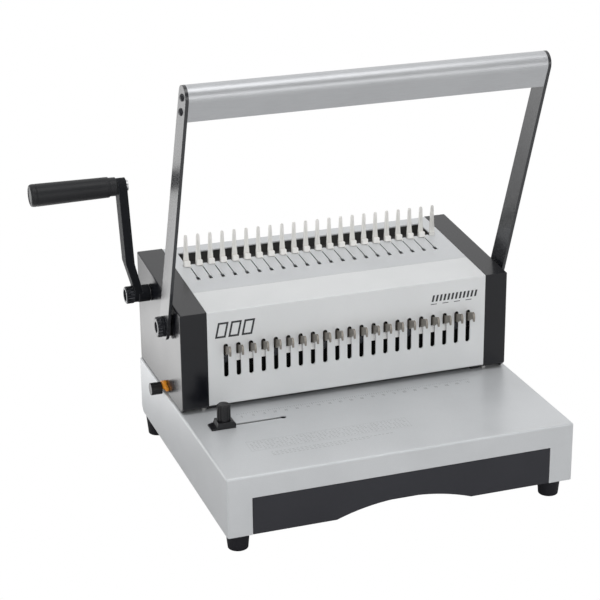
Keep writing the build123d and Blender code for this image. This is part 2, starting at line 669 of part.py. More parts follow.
def back_gauge():
    """Paper stop behind the pins, pushed forward by the cam."""
    z0, z1 = BASE_TOP + 0.3, GUIDE_Z0 - 0.3
    reach = 151.5
    gauge = block((-reach, reach), (GAUGE_Y, GAUGE_Y + 3), (z0, z1))
    gauge += block((-reach, reach), (GAUGE_Y + 3, GAUGE_Y + 22), (z0, z0 + 2))
    gauge += block((-162.8, reach), (GAUGE_Y + 22, GAUGE_Y + 27), (z0, z1))
    arm_back = DIAL_Y - CAM_MIN - 0.35
    gauge += block((-162.8, -158.0), (GAUGE_Y + 27, arm_back), (z0, z1))
    return gauge


def edge_guide():
    """Shoe that slides along the slot in the base top and stops the paper's edge."""
    z0 = BASE_TOP + 0.1
    x = GUIDE_X
    shape = outline(
        [
            (x - 16, z0),
            (x - 16, z0 + 1.4),
            (x - 10, z0 + 3.0),
            (x - 8.5, z0 + 7.5),
            (x + 9.0, z0 + 7.5),
            (x + 11.0, z0 + 5.0),
            (x + 11.0, z0),
        ]
    )
    shoe = front_plate(shape, GUIDE_Y - 8.5, GUIDE_Y + 7.5)
    return shoe - rod_z(x, GUIDE_Y, z0 - 1, z0 + 10, 1.9)


def clamp_plate():
    z1 = BASE_TOP - SHEET - 0.1
    plate = block((GUIDE_X - 10, GUIDE_X + 10), (GUIDE_Y - 6, GUIDE_Y + 6), (z1 - 4, z1))
    return plate - rod_z(GUIDE_X, GUIDE_Y, z1 - 5, z1 + 1, 1.75)


def guide_knob():
    z0 = BASE_TOP + 7.8
    knob = flat_plate(ribbed(7.4, 14, 0.6), z0, z0 + 17.0)
    knob = knob + Pos(0, 0, z0 + 17.7) * Cone(6.8, 5.8, 1.4)
    knob += rod_z(0, 0, BASE_TOP - 10, z0, 1.7)
    return Pos(GUIDE_X, GUIDE_Y, 0) * knob


# ---- write one STEP per sub-part ----------------------------------------------------------------------------
PARTS = {
    "base_housing": base_housing,
    "bottom_plate": bottom_plate,
    "rubber_feet": rubber_feet,
    "frame_screws": frame_screws,
    "waste_drawer": waste_drawer,
    "side_frames": side_frames,
    "end_cap_left": lambda: end_cap(-1),
    "end_cap_right": lambda: end_cap(1),
    "front_cover": front_cover,
    "top_cover": top_cover,
    "rear_cover": rear_cover,
    "die_plate": die_plate,
    "guide_plate": guide_plate,
    "guide_rods": guide_rods,
    "return_springs": return_springs,
    "pressure_bar": pressure_bar,
    "punch_pins": punch_pins,
    "selector_strip": selector_strip,
    "handle_arm_left": lambda: handle_arm(-1),
    "handle_arm_right": lambda: handle_arm(1),
    "handle_bar": handle_bar,
    "handle_shaft": handle_shaft,
    "handle_pinions": handle_pinions,
    "handle_bolts": handle_bolts,
    "crank_shaft": crank_shaft,
    "crank_pinions": crank_pinions,
    "crank_arm": crank_arm,
    "crank_knob": crank_knob,
    "grip_pin": grip_pin,
    "crank_grip": crank_grip,
    "comb_hook_bar": comb_hook_bar,
    "tine_rake": tine_rake,
    "comb_trough": comb_trough,
    "shaft_bushes": shaft_bushes,
    "margin_dial": margin_dial,
    "back_gauge": back_gauge,
    "edge_guide": edge_guide,
    "clamp_plate": clamp_plate,
    "guide_knob": guide_knob,
}

os.makedirs("parts", exist_ok=True)
for name, make in PARTS.items():
    export_step(Pos(-ORIGIN_X, -ORIGIN_Y, 0) * make(), f"parts/{name}.step")
for number, slot_x in enumerate(SLOT_X, 1):
    selector = pin_selector(slot_x)
    export_step(Pos(-ORIGIN_X, -ORIGIN_Y, 0) * selector, f"parts/pin_selector_{number:02d}.step")
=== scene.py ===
import math

import bmesh
import bpy
from mathutils import Matrix, Vector


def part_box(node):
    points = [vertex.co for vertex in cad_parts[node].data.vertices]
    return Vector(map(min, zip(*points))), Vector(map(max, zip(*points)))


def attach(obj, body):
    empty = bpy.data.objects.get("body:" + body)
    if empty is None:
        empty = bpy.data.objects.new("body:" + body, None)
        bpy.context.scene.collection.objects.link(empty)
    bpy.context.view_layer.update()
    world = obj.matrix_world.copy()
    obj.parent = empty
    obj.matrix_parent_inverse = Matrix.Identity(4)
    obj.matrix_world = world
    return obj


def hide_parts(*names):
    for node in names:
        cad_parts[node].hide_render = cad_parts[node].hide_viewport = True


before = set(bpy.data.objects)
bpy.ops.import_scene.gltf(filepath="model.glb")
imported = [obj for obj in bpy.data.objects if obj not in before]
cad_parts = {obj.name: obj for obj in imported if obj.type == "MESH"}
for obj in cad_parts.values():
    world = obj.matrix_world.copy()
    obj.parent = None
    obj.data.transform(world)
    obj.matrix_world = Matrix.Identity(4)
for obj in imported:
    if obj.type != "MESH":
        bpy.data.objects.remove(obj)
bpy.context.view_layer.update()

MM = 0.001

# ---- places read from the frame ------------------------------------------------------------------
BASE_LO, BASE_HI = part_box("base_housing")
CAP_LO, CAP_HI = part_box("end_cap_left")
MID_X = (BASE_LO.x + BASE_HI.x) / 2
BASE_TOP = BASE_HI.z
PANEL_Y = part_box("front_cover")[0].y  # face of the front cover
TOP_FRONT_Z = CAP_HI.z - 14.5 * MM  # the top is this much lower along its front edge
SLOPE = (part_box("top_cover")[1].z - TOP_FRONT_Z) / (CAP_HI.y - CAP_LO.y)
HOLES = 21
PITCH = (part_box("pin_selector_21")[0].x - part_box("pin_selector_01")[0].x) / (HOLES - 1)
SLOT_X = [MID_X + (i - (HOLES - 1) / 2) * PITCH for i in range(HOLES)]
TINE_X = [MID_X + (i - HOLES / 2) * PITCH for i in range(HOLES + 1)]

# ---- settings ------------------------------------------------------------------------------------
CAMERA_PLACE = (-0.6119, -1.7745, 0.9235)
CAMERA_ANGLES = (19.13, 20.98, -0.60)  # azimuth, elevation and roll in degrees
CAMERA_LENS = 110.7
MACHINE_CENTRE = (0.05, 0.0, 0.15)  # what most lights point at
FLOOR_HALF = 4.0
SHARP_EDGE = 38  # degrees; a smooth piece keeps the edges that turn by more

# millimetres, and places counted as in at()
CRANK_Y = 290.0
TINE_Y = 287.6
HANDLE_LEAN = 21.0  # degrees from upright, the bar in front of the pivot
BAR_SCREWS_ALONG = (285.4, 302.7)  # from the pivot, up the arm
STRIP_FACE_Y = 167.6
RULER_PITCH = 2.54
RULER_Y = 149.6
NUMBER_Y = 139.4
SYMBOL_Z = 183.0
SYMBOL_SLANT = 0.22


def middle(node):
    """Centre of a CAD node's box."""
    low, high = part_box(node)
    return (low + high) / 2


# ---- shader helpers ------------------------------------------------------------------------------
def noise_value(tree, vector, scale, detail=2.0):
    """A noise texture's value, from 0 to 1."""
    texture = tree.nodes.new("ShaderNodeTexNoise")
    texture.inputs["Scale"].default_value = scale
    texture.inputs["Detail"].default_value = detail
    tree.links.new(vector, texture.inputs["Vector"])
    return texture.outputs["Fac"]


def ranged(tree, value, low, high, from_low=0.3, from_high=0.7, smooth=False):
    """A value stretched from one range to another."""
    node = tree.nodes.new("ShaderNodeMapRange")
    if smooth:
        node.interpolation_type = "SMOOTHSTEP"
    node.inputs["From Min"].default_value = from_low
    node.inputs["From Max"].default_value = from_high
    node.inputs["To Min"].default_value = low
    node.inputs["To Max"].default_value = high
    tree.links.new(value, node.inputs["Value"])
    return node.outputs["Result"]


def combined(tree, operation, *values):
    """A sum, product or difference of values, each a number or a socket."""
    node = tree.nodes.new("ShaderNodeMath")
    node.operation = operation
    for socket, value in zip(node.inputs, values):
        if isinstance(value, bpy.types.NodeSocket):
            tree.links.new(value, socket)
        else:
            socket.default_value = value
    return node.outputs[0]


def split_place(tree, output):
    """The X, Y and Z of a texture coordinate."""
    place = tree.nodes.new("ShaderNodeTexCoord")
    split = tree.nodes.new("ShaderNodeSeparateXYZ")
    tree.links.new(place.outputs[output], split.inputs[0])
    return split.outputs


def white_to_camera(tree, shader, white, out):
    """The camera sees plain white, and everything else sees the shader."""
    path = tree.nodes.new("ShaderNodeLightPath")
    choose = tree.nodes.new("ShaderNodeMixShader")
    tree.links.new(path.outputs["Is Camera Ray"], choose.inputs[0])
    tree.links.new(shader.outputs[0], choose.inputs[1])
    tree.links.new(white.outputs[0], choose.inputs[2])
    tree.links.new(choose.outputs[0], out.inputs["Surface"])


# ---- camera and stage ----------------------------------------------------------------------------
def make_camera():
    """Stands to the left of the machine and looks down on it from the front."""
    azimuth, elevation, roll = (math.radians(a) for a in CAMERA_ANGLES)
    forward = Vector(
        (
            math.sin(azimuth) * math.cos(elevation),
            math.cos(azimuth) * math.cos(elevation),
            -math.sin(elevation),
        )
    )
    level = Vector((math.cos(azimuth), -math.sin(azimuth), 0))
    upright = level.cross(forward)
    right = level * math.cos(roll) + upright * math.sin(roll)
    up = upright * math.cos(roll) - level * math.sin(roll)
    data = bpy.data.cameras.new("photo_camera")
    data.sensor_width = 36.0
    data.lens = CAMERA_LENS
    data.clip_end = 60.0
    camera = bpy.data.objects.new("photo_camera", data)
    rows = [(right[i], up[i], -forward[i], CAMERA_PLACE[i]) for i in range(3)]
    camera.matrix_world = Matrix((*rows, (0, 0, 0, 1)))
    bpy.context.scene.collection.objects.link(camera)
    bpy.context.scene.camera = camera


def area_light(name, place, target, size, power):
    """A white rectangle of light that faces a target."""
    data = bpy.data.lights.new(name, "AREA")
    data.shape = "RECTANGLE"
    data.size, data.size_y = size
    data.energy = power
    light = bpy.data.objects.new(name, data)
    light.location = place
    light.rotation_mode = "QUATERNION"
    light.rotation_quaternion = (Vector(target) - Vector(place)).to_track_quat("-Z", "Y")
    light.visible_camera = False
    bpy.context.scene.collection.objects.link(light)


def make_world():
    """A white studio: brighter above and behind, dimmer on the camera's side."""
    world = bpy.data.worlds.new("studio")
    bpy.context.scene.world = world
    world.use_nodes = True
    tree = world.node_tree
    tree.nodes.clear()
    direction = split_place(tree, "Generated")
    depth = ranged(tree, direction["Y"], 0.34, 1.08, -0.6, 0.6)
    height = ranged(tree, direction["Z"], 0.0, 0.1, 0.15, 0.75)
    room = tree.nodes.new("ShaderNodeBackground")
    tree.links.new(combined(tree, "ADD", depth, height), room.inputs["Strength"])
    white = tree.nodes.new("ShaderNodeBackground")
    white.inputs["Color"].default_value = (1, 1, 1, 1)
    white_to_camera(tree, room, white, tree.nodes.new("ShaderNodeOutputWorld"))


def make_floor():
    """A pale sheet on the table, with a pool of light behind the machine, to the left.

    The pool has a dark side, so the left end reflects light low down and dusk at its upper rear."""
    mesh = bpy.data.meshes.new("floor")
    corners = [(-1, -1), (1, -1), (1, 1), (-1, 1)]
    mesh.from_pydata([(x * FLOOR_HALF, y * FLOOR_HALF, 0) for x, y in corners], [], [(0, 1, 2, 3)])
    floor = bpy.data.objects.new("floor", mesh)
    bpy.context.scene.collection.objects.link(floor)
    material = bpy.data.materials.new("floor_sheet")
    material.use_nodes = True
    tree = material.node_tree
    shader = tree.nodes["Principled BSDF"]
    shader.inputs["Base Color"].default_value = (0.5, 0.5, 0.5, 1)
    shader.inputs["Roughness"].default_value = 0.9
    shader.inputs["Emission Color"].default_value = (1, 1, 1, 1)
    place = split_place(tree, "Object")
    x, y = place["X"], place["Y"]
    slant = combined(tree, "MULTIPLY_ADD", x, 3.6, y)

    def eased(socket, start, end):
        return ranged(tree, socket, 0.0, 1.0, start, end, smooth=True)

    pool = combined(tree, "MULTIPLY", eased(x, -0.15, -0.24), eased(y, 0.08, 0.3))
    shade = combined(tree, "MULTIPLY", eased(slant, -0.42, -0.34), eased(y, 0.5, 0.66))
    unshaded = combined(tree, "SUBTRACT", 1.0, combined(tree, "MULTIPLY", shade, 0.95))
    glow = ranged(tree, combined(tree, "MULTIPLY", pool, unshaded), 0.12, 1.75, 0.0, 1.0)
    tree.links.new(glow, shader.inputs["Emission Strength"])
    white_to_camera(tree, shader, tree.nodes.new("ShaderNodeEmission"), tree.nodes["Material Output"])
    mesh.materials.append(material)


def make_lights():
    """Four banks of light: place, target, size in metres, and watts."""
    area_light("key_front_left", (-1.5, -2.0, 1.5), MACHINE_CENTRE, (1.4, 1.0), 12)
    area_light("fill_right", (1.9, -1.2, 1.1), MACHINE_CENTRE, (1.2, 1.2), 4)
    area_light("top_bank", (0.0, -0.5, 1.9), MACHINE_CENTRE, (1.8, 0.9), 11)
    area_light("front_low", (0.15, -1.9, 0.45), (0.05, 0.0, 0.14), (2.2, 0.7), 8)


# ---- materials -----------------------------------------------------------------------------------
def mixed(tree, factor, first, second):
    """A colour between two, each a colour or a socket."""
    node = tree.nodes.new("ShaderNodeMix")
    node.data_type = "RGBA"
    tree.links.new(factor, node.inputs["Factor"])
    for name, colour in (("A", first), ("B", second)):
        socket = next(s for s in node.inputs if s.name == name and s.type == "RGBA")
        if isinstance(colour, bpy.types.NodeSocket):
            tree.links.new(colour, socket)
        else:
            socket.default_value = (*colour, 1)
    return next(s for s in node.outputs if s.type == "RGBA")


def finish_of(
    name,
    dark,
    light,
    metallic=0.0,
    rough=(0.4, 0.5),
    grain=1200.0,
    stretch=(1, 1, 1),
    bump=0.1,
    edge=0.35,
    edge_highlight=None,
    specular=0.5,
    coat=0.0,
):
    """One procedural finish: blotches and a fine grain in colour and gloss, a bump, and eased edges.

    dark and light are the ends of its colour, grain the number of specks per metre, edge the radius
    of its edges in millimetres, and edge_highlight the lighter colour of a painted highlight along eased
    edges."""
    material = bpy.data.materials.new(name)
    material.use_nodes = True
    tree = material.node_tree
    shader = tree.nodes["Principled BSDF"]
    shader.inputs["Metallic"].default_value = metallic
    shader.inputs["Specular IOR Level"].default_value = specular
    shader.inputs["Coat Weight"].default_value = coat
    place = tree.nodes.new("ShaderNodeTexCoord")
    scaled = tree.nodes.new("ShaderNodeMapping")
    scaled.inputs["Scale"].default_value = stretch
    tree.links.new(place.outputs["Object"], scaled.inputs["Vector"])
    fine = noise_value(tree, scaled.outputs["Vector"], grain, 3.0)
    broad = noise_value(tree, place.outputs["Object"], 14.0, 4.0)
    blend = combined(tree, "ADD", ranged(tree, fine, 0.0, 0.6), ranged(tree, broad, 0.0, 0.4))
    colour = mixed(tree, blend, dark, light)
    rounded = tree.nodes.new("ShaderNodeBevel")
    rounded.samples = 4
    rounded.inputs["Radius"].default_value = edge * MM
    # Painted highlight: eased edges take a lighter colour, in patches, where light would catch them.
    if edge_highlight:
        face = tree.nodes.new("ShaderNodeNewGeometry")
        turn = tree.nodes.new("ShaderNodeVectorMath")
        turn.operation = "DOT_PRODUCT"
        tree.links.new(rounded.outputs["Normal"], turn.inputs[0])
        tree.links.new(face.outputs["Normal"], turn.inputs[1])
        highlight_edges = ranged(tree, turn.outputs["Value"], 0.8, 0.0, 0.82, 0.995)
        patchy_highlight = combined(tree, "MULTIPLY", highlight_edges, ranged(tree, broad, 0.25, 1.0))
        colour = mixed(tree, patchy_highlight, colour, edge_highlight)
    tree.links.new(colour, shader.inputs["Base Color"])
    blotches = ranged(tree, broad, rough[0], (rough[0] + rough[1]) / 2)
    specks = ranged(tree, fine, 0.0, (rough[1] - rough[0]) / 2)
    tree.links.new(combined(tree, "ADD", blotches, specks), shader.inputs["Roughness"])
    relief = tree.nodes.new("ShaderNodeBump")
    relief.inputs["Strength"].default_value = bump
    relief.inputs["Distance"].default_value = 0.1 * MM
    tree.links.new(fine, relief.inputs["Height"])
    tree.links.new(rounded.outputs["Normal"], relief.inputs["Normal"])
    tree.links.new(relief.outputs["Normal"], shader.inputs["Normal"])
    return material


BRUSHED_X = (0.02, 1, 1)  # long scratches along X
BRUSHED_Z = (1, 1, 0.03)  # and along Z

FINISH_SETTINGS = {
    # Its lighter edge colour is a painted highlight along the folds and eased edges.
    "housing_paint": dict(
        dark=(0.52, 0.535, 0.55), light=(0.65, 0.665, 0.68), metallic=0.18, rough=(0.30, 0.42),
        grain=2600, bump=0.05, edge=0.5, edge_highlight=(0.82, 0.83, 0.84), coat=0.05,
    ),
    "cap_charcoal": dict(
        dark=(0.002, 0.0023, 0.004), light=(0.005, 0.0057, 0.009), rough=(0.18, 0.26), grain=1500,
        bump=0.12, edge=1.1, specular=0.5,
    ),
    "arm_enamel": dict(
        dark=(0.010, 0.011, 0.014), light=(0.016, 0.017, 0.021), rough=(0.20, 0.30), grain=900,
        bump=0.06, edge=0.5, specular=0.85,
    ),
    "drawer_plastic": dict(
        dark=(0.015, 0.0155, 0.021), light=(0.024, 0.025, 0.032), rough=(0.38, 0.52), grain=1800,
        bump=0.25, edge=0.5, specular=0.4,
    ),
    "black_plastic": dict(
        dark=(0.003, 0.003, 0.004), light=(0.008, 0.008, 0.010), rough=(0.25, 0.42), grain=1400,
        bump=0.15, edge=0.3,
    ),
    "grip_plastic": dict(
        dark=(0.013, 0.0135, 0.015), light=(0.021, 0.0215, 0.024), rough=(0.36, 0.5), grain=1600,
        bump=0.25, edge=0.4, specular=0.25,
    ),
    "tray_plastic": dict(
        dark=(0.030, 0.029, 0.028), light=(0.045, 0.044, 0.042), rough=(0.5, 0.7), grain=1200,
        bump=0.2,
    ),
    "rubber": dict(
        dark=(0.007, 0.007, 0.010), light=(0.014, 0.014, 0.019), rough=(0.55, 0.75), grain=2200,
        bump=0.4, edge=0.5, specular=0.25,
    ),
    "black_bolts": dict(
        dark=(0.008, 0.009, 0.012), light=(0.018, 0.020, 0.026), metallic=0.3, rough=(0.2, 0.34),
        grain=1200, bump=0.08, edge=0.25,
    ),
    "bar_aluminium": dict(
        dark=(0.47, 0.48, 0.495), light=(0.55, 0.56, 0.575), metallic=0.6, rough=(0.32, 0.42),
        grain=3000, stretch=BRUSHED_X, bump=0.05, edge=0.3,
    ),
    "nickel": dict(
        dark=(0.74, 0.73, 0.70), light=(0.90, 0.89, 0.86), metallic=0.4, rough=(0.26, 0.4),
        grain=2200, stretch=BRUSHED_Z, bump=0.12, edge=0.25,
    ),
    # Its near-white edge colour is a painted highlight on the hooks' front lips.
    "tab_nickel": dict(
        dark=(0.22, 0.20, 0.175), light=(0.34, 0.315, 0.28), metallic=0.7, rough=(0.26, 0.42),
        grain=1600, bump=0.15, edge=0.3, edge_highlight=(0.85, 0.84, 0.82),
    ),
    "zinc": dict(
        dark=(0.62, 0.62, 0.61), light=(0.80, 0.80, 0.79), metallic=0.8, rough=(0.25, 0.42),
        grain=900, bump=0.15, edge=0.2,
    ),
    "plated_steel": dict(
        dark=(0.46, 0.46, 0.45), light=(0.62, 0.62, 0.60), metallic=0.85, rough=(0.28, 0.45),
        grain=500, bump=0.1, edge=0.3,
    ),
    "screw_steel": dict(
        dark=(0.48, 0.48, 0.49), light=(0.62, 0.62, 0.63), metallic=0.9, rough=(0.22, 0.36),
        grain=1500, bump=0.1, edge=0.25,
    ),
    "tool_steel": dict(
        dark=(0.34, 0.34, 0.35), light=(0.47, 0.47, 0.48), metallic=0.9, rough=(0.26, 0.4),
        grain=1800, stretch=BRUSHED_X, bump=0.12, edge=0.25,
    ),
    "dark_steel": dict(
        dark=(0.020, 0.020, 0.022), light=(0.045, 0.045, 0.048), metallic=0.5, rough=(0.35, 0.5),
        grain=1200, bump=0.12, edge=0.25,
    ),
    "spring_steel": dict(
        dark=(0.40, 0.40, 0.41), light=(0.55, 0.55, 0.56), metallic=0.9, rough=(0.22, 0.34),
        grain=1800, bump=0.1, edge=0.1,
    ),
    "bronze": dict(
        dark=(0.40, 0.26, 0.12), light=(0.56, 0.38, 0.19), metallic=0.9, rough=(0.3, 0.45),
        grain=1200, bump=0.15, edge=0.25,
    ),
    # A lighter copy of the housing paint for the front cover: painted light, so the panel reads brighter than
    # the paint around it; its lighter edges are a painted highlight.
    "lit_panel_paint": dict(
        dark=(0.66, 0.675, 0.68), light=(0.78, 0.79, 0.795), metallic=0.2, rough=(0.32, 0.44),
        grain=2600, bump=0.05, edge=0.4, edge_highlight=(0.86, 0.87, 0.88),
    ),
    # The crank arm's lighter edge colour is a painted highlight along its rounded edges.
    "crank_enamel": dict(
        dark=(0.004, 0.0045, 0.006), light=(0.010, 0.011, 0.014), rough=(0.46, 0.6), grain=1100,
        bump=0.1, edge=0.9, specular=0.12, edge_highlight=(0.16, 0.165, 0.175),
    ),
    # Matte near-white on the comb hooks: a painted highlight for the glint of their bright metal.
    "hook_painted_highlight": dict(
        dark=(0.88, 0.87, 0.84), light=(0.98, 0.97, 0.94), metallic=0.0, rough=(0.3, 0.45),
        grain=1400, edge=0.3,
    ),
    # Near-white on the punch strip: its own bright zinc plus a painted reflection.
    "strip_painted_reflection": dict(
        dark=(0.80, 0.80, 0.79), light=(0.95, 0.95, 0.94), metallic=0.1, rough=(0.35, 0.5),
        grain=700, edge=0.2,
    ),
    "inside_black": dict(
        dark=(0.001, 0.001, 0.001), light=(0.003, 0.003, 0.003), rough=(0.6, 0.8), grain=900,
        specular=0.1,
    ),
    # Grey for the ring at the knob's recess: a painted highlight.
    "rim_painted_highlight": dict(
        dark=(0.16, 0.165, 0.17), light=(0.30, 0.305, 0.31), metallic=0.3, rough=(0.3, 0.45),
        grain=2200, edge=0.2,
    ),
    # Near-black for the screws' cross recesses: painted shade.
    "recess_shade_black": dict(
        dark=(0.003, 0.003, 0.003), light=(0.008, 0.008, 0.009), rough=(0.4, 0.6), grain=2200,
        edge=0.05,
    ),
    "ink": dict(
        dark=(0.10, 0.11, 0.12), light=(0.22, 0.23, 0.24), rough=(0.5, 0.65), grain=3000, bump=0.05,
        edge=0.02,
    ),
    "faint_ink": dict(
        dark=(0.30, 0.315, 0.32), light=(0.46, 0.475, 0.48), rough=(0.4, 0.5), grain=3000,
        bump=0.05, edge=0.02,
    ),
    "logo_ink": dict(
        dark=(0.018, 0.019, 0.022), light=(0.035, 0.036, 0.040), rough=(0.4, 0.5), grain=3000,
        bump=0.05, edge=0.02,
    ),
    "pointer_orange": dict(
        dark=(0.72, 0.21, 0.01), light=(0.90, 0.36, 0.02), rough=(0.35, 0.45), grain=1500,
        bump=0.12, edge=0.25,
    ),
}
FINISHES = {name: finish_of(name, **settings) for name, settings in FINISH_SETTINGS.items()}


OWN_FINISH = {
    "crank_arm": "crank_enamel",
    # The comb hooks' near-white is a painted highlight.
    "comb_hook_bar": "hook_painted_highlight",
    # The front cover's lighter paint is painted light.
    "front_cover": "lit_panel_paint",
    # guide_plate and back_gauge take near-black dark_steel so the throat under the front panel reads as a dark
    # line: painted shade.
    "guide_plate": "dark_steel",
    "back_gauge": "dark_steel",
}


def paint_frame():
    """Every CAD node takes the finish of its own material slot, and a few take a finish of their own."""
    for name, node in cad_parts.items():
        for slot in node.material_slots:
            slot.material = FINISHES[OWN_FINISH.get(name, slot.material.name.split(".")[0])]


# ---- mesh helpers --------------------------------------------------------------------------------
def piece(name, bm, finish, body, replaces=(), smooth=True, bevel=0.0, segments=2):
    """Makes a piece from a mesh in the row frame, gives it a finish, and lets it ride on a body."""
    bmesh.ops.recalc_face_normals(bm, faces=bm.faces)
    mesh = bpy.data.meshes.new(name)
    bm.to_mesh(mesh)
    bm.free()
    made = bpy.data.objects.new(name, mesh)
    bpy.context.scene.collection.objects.link(made)
    mesh.materials.append(FINISHES[finish])
    if smooth:
        mesh.shade_smooth()
    if bevel:
        rounding = made.modifiers.new("eased_edges", "BEVEL")
        rounding.width = bevel * MM
        rounding.segments = segments
        rounding.limit_method = "ANGLE"
        rounding.angle_limit = math.radians(35)
        rounding.harden_normals = True
    elif smooth:
        by_angle = made.modifiers.new("flat_faces", "EDGE_SPLIT")
        by_angle.split_angle = math.radians(SHARP_EDGE)
    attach(made, body)
    if replaces:
        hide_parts(*replaces)


def add_prism(bm, points, axis, low, high):
    """Extrudes an outline along the axis with that letter; points hold the other two coordinates in order."""
    order = {"X": (2, 0, 1), "Y": (0, 2, 1), "Z": (0, 1, 2)}[axis]

    def vertex(point, along):
        values = (point[0], point[1], along)
        return bm.verts.new([values[i] for i in order])

    rings = [[vertex(p, along) for p in points] for along in (low, high)]
    bm.faces.new(rings[0][::-1])
    bm.faces.new(rings[1])
    count = len(points)
    for i in range(count):
        j = (i + 1) % count
        bm.faces.new((rings[0][i], rings[0][j], rings[1][j], rings[1][i]))


def add_box(bm, low, high):
    """A block between two corners in the row frame."""
    outline = [(low[0], low[1]), (high[0], low[1]), (high[0], high[1]), (low[0], high[1])]
    add_prism(bm, outline, "Z", low[2], high[2])


def add_lathe(bm, profile, centre, segments, turn=Matrix.Identity(3)):
    """Revolves a profile of (place along X, radius) or (place, radius, ribs, depth of ribs), then turns it."""
    rings = []
    for along, radius, *ribs in profile:
        ring = []
        for k in range(segments):
            angle = 2 * math.pi * k / segments
            r = radius
            if ribs:
                r -= ribs[1] * (0.5 + 0.5 * math.tanh(3 * math.cos(ribs[0] * angle)))
            local = Vector((along, r * math.cos(angle), r * math.sin(angle)))
            ring.append(bm.verts.new(centre + turn @ local))
        rings.append(ring)
    bm.faces.new(rings[0][::-1])
    bm.faces.new(rings[-1])
    for a, b in zip(rings, rings[1:]):
        for k in range(segments):
            j = (k + 1) % segments
            bm.faces.new((a[k], a[j], b[j], b[k]))


# ---- detail pieces -------------------------------------------------------------------------------
def at(x, y, z):
    """A place in the row frame from millimetres: right of the base's middle, behind its front, up."""
    return Vector((MID_X + x * MM, BASE_LO.y + y * MM, z * MM))


def top_z(y):
    """Height in millimetres of the sloping top cover, y millimetres behind the base's front."""
    front = (PANEL_Y - BASE_LO.y) / MM
    return (TOP_FRONT_Z + (y - front) * MM * SLOPE) / MM


def lathe_at(bm, profile, y, z, segments):
    """A turned shape on a line along X; profile places and radii are in millimetres."""
    centre = at(0, y, z)
    scaled = []
    for along, radius, *ribs in profile:
        scaled.append((along * MM, radius * MM, *((ribs[0], ribs[1] * MM) if ribs else ())))
    add_lathe(bm, scaled, centre, segments)


def make_tines():
    """Thin pressed tines: a broad foot, a waist with a crease, and a rounded tip."""
    bm = bmesh.new()
    y0, foot = TINE_Y, top_z(TINE_Y)
    half_widths = [(-8, 3.2), (8, 3.2), (10, 3.05), (13, 2.8), (19, 2.45), (27, 2.2), (34, 1.95)]
    half_widths += [(36, 1.55), (36.8, 0.9)]
    for x in TINE_X:
        mid = (x - MID_X) / MM
        points = [(x + w * MM, (foot + h) * MM) for h, w in half_widths]
        points += [(x - w * MM, (foot + h) * MM) for h, w in reversed(half_widths)]
        add_prism(bm, points, "Y", at(0, y0 - 0.8, 0).y, at(0, y0 + 0.8, 0).y)
        add_box(bm, at(mid - 3.2, y0 - 1.8, foot - 3), at(mid + 3.2, y0 - 0.8, foot + 4.6))  # foot
        add_box(bm, at(mid - 0.35, y0 - 1.25, foot + 9), at(mid + 0.35, y0 - 0.8, foot + 30))  # crease
    add_box(bm, at(-165.5, y0 + 0.8, 206.2), at(165.5, y0 + 2.0, 212.8))
    piece("tines", bm, "nickel", "machine_frame", replaces=["tine_rake"], bevel=0.25)


def make_grip():
    """Turned grip: a recessed end, a groove near it, a long taper and a collar against the crank."""
    bm = bmesh.new()
    profile = [(-321.2, 7.6), (-321.4, 8.6), (-322.0, 9.2), (-322.0, 10.4), (-321.6, 11.3), (-320.6, 12.1)]
    profile += [(-319.2, 12.45), (-316.2, 12.5), (-315.9, 12.15), (-315.3, 12.15), (-315.0, 12.5)]
    profile += [(-240.0, 11.45), (-235.6, 11.4), (-234.8, 11.1), (-234.4, 10.4), (-227.0, 10.3), (-226.5, 9.7)]
    lathe_at(bm, profile, CRANK_Y, middle("crank_grip").z / MM, 72)
    piece("grip_turned", bm, "grip_plastic", "crank_grip", replaces=["crank_grip"])


def make_crank_knob():
    """Ribbed lock knob with a recessed end, the nut inside it and a grey rim around it that paints the
    highlight on the recess's edge.
    """
    bm = bmesh.new()
    z = middle("crank_shaft").z / MM
    profile = [(-218.2, 4.9), (-218.4, 6.2), (-221.2, 6.5), (-221.5, 6.9), (-221.5, 8.6), (-221.1, 9.2)]
    profile += [(-220.4, 9.8, 18, 0.3), (-219.6, 9.8, 18, 0.9), (-213.6, 9.8, 18, 0.9), (-212.8, 9.7, 18, 0.3)]
    profile += [(-212.5, 9.2)]
    lathe_at(bm, profile, CRANK_Y, z, 108)
    piece("crank_lock_knob", bm, "black_bolts", "crank", replaces=["crank_knob"])
    bm = bmesh.new()
    lathe_at(bm, [(-219.4, 3.4), (-219.6, 4.0), (-219.6, 4.6), (-218.2, 4.9)], CRANK_Y, z, 6)
    piece("crank_nut", bm, "screw_steel", "crank")
    # Painted highlight: a grey ring at the mouth of the recess stands in for light on its edge.
    bm = bmesh.new()
    ring = [(6.55, -221.45), (6.95, -221.75), (8.45, -221.75), (8.75, -221.4)]
    centre = at(0, CRANK_Y, z)
    count = 64
    rows = []
    for k in range(count):
        angle = 2 * math.pi * k / count
        places = [Vector((x, r * math.cos(angle), r * math.sin(angle))) for r, x in ring]
        rows.append([bm.verts.new(centre + place * MM) for place in places])
    for k in range(count):
        a, b = rows[k], rows[(k + 1) % count]
        for i in range(len(ring)):
            j = (i + 1) % len(ring)
            bm.faces.new((a[i], a[j], b[j], b[i]))
    piece("crank_knob_highlight_rim", bm, "rim_painted_highlight", "crank")


